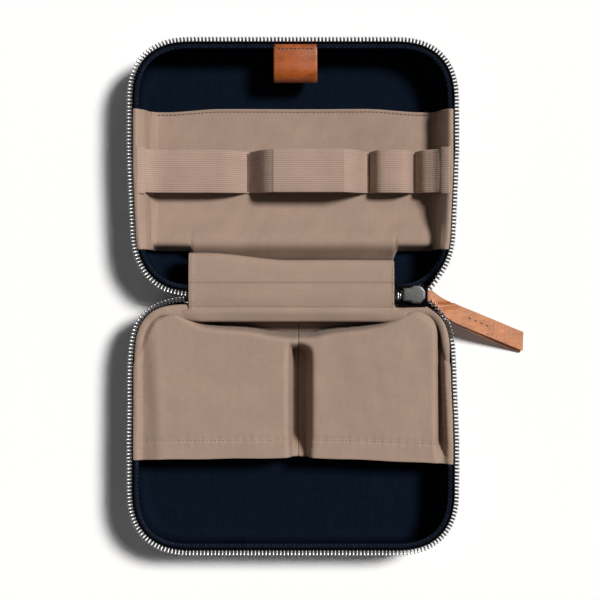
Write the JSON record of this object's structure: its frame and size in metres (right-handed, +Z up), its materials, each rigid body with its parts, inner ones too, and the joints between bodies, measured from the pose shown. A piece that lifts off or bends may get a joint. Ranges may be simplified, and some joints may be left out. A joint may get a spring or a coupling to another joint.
{
  "type": "cable organizer pouch",
  "caption": "Zip-around fabric travel pouch that opens flat, with tray pockets, an elastic loop band, a pen loop and a leather zip pull.",
  "frame": {"origin": "centre of the underside of the base tray, on the table", "axes": "+X along the spine towards the zip slider, +Y from the base across the spine to the lid, +Z up out of the open trays"},
  "size_m": [0.2507, 0.32, 0.0347],
  "materials": {
    "shell_fabric": "woven matt",
    "foam": "closed-cell foam",
    "lining_fabric": "woven, slight sheen",
    "zip_tape": "twill tape",
    "tooth_metal": "bright nickel",
    "slider_metal": "brushed",
    "pocket_fabric": "woven matt",
    "elastic": "ribbed",
    "leather": "vegetable tanned, waxed",
    "thread": "twisted thread"
  },
  "bodies": {
    "base": {"base_outer_panel": "shell_fabric", "base_gusset": "shell_fabric", "base_foam": "foam", "base_lining": "lining_fabric", "base_binding": "lining_fabric", "base_zip_tape": "zip_tape", "base_zip_teeth": "tooth_metal", "base_spine_panel": "shell_fabric", "base_spine_cover": "pocket_fabric", "base_pocket_left": "pocket_fabric", "base_pocket_right": "pocket_fabric", "base_pocket_seam_tape": "pocket_fabric", "zip_bottom_stop": "tooth_metal"},
    "lid": {"lid_outer_panel": "shell_fabric", "lid_gusset": "shell_fabric", "lid_foam": "foam", "lid_lining": "lining_fabric", "lid_binding": "lining_fabric", "lid_zip_tape": "zip_tape", "lid_zip_teeth": "tooth_metal", "lid_spine_panel": "shell_fabric", "lid_spine_cover": "pocket_fabric", "lid_pocket_panel": "pocket_fabric", "lid_pocket_gusset_left": "pocket_fabric", "lid_pocket_gusset_right": "pocket_fabric", "elastic_band": "elastic", "elastic_bartacks": "pocket_fabric", "elastic_end_tab_left": "elastic", "elastic_end_tab_right": "elastic", "pen_loop": "leather", "pen_loop_backing": "leather"},
    "zip_end": {"zip_end_stop": "tooth_metal", "zip_joined_teeth": "tooth_metal"},
    "slider": {"slider_body": "slider_metal", "slider_crown": "slider_metal"},
    "pull_ring": {"pull_ring": "slider_metal"},
    "pull_strap": {"pull_strap": "leather", "strap_stitches": "thread"}
  },
  "joints": [
    {"name": "lid_hinge", "type": "hinge", "parent": "base", "child": "lid", "pos_m": [0, 0.0801, 0.032], "axis": [1, 0, 0], "range_deg": [0, 180]},
    {"name": "zip_end_turn", "type": "hinge", "parent": "base", "child": "zip_end", "pos_m": [0, 0.0801, 0.032], "axis": [1, 0, 0], "range_deg": [0, 90]},
    {"name": "slider_slide", "type": "slide", "parent": "zip_end", "child": "slider", "axis": [1, 0, 0], "range_m": [-0.001, 0.004]},
    {"name": "ring_swing", "type": "hinge", "parent": "slider", "child": "pull_ring", "pos_m": [0.0773, 0.0801, 0.0279], "axis": [0, -1, 0], "range_deg": [0, 12]},
    {"name": "strap_swing", "type": "hinge", "parent": "pull_ring", "child": "pull_strap", "pos_m": [0.08348, 0.0801, 0.02624], "axis": [0, -1, 0], "range_deg": [0, 50]}
  ],
  "couplings": [
    {"joint": "zip_end_turn", "follows": "lid_hinge", "ratio": 0.5}
  ]
}
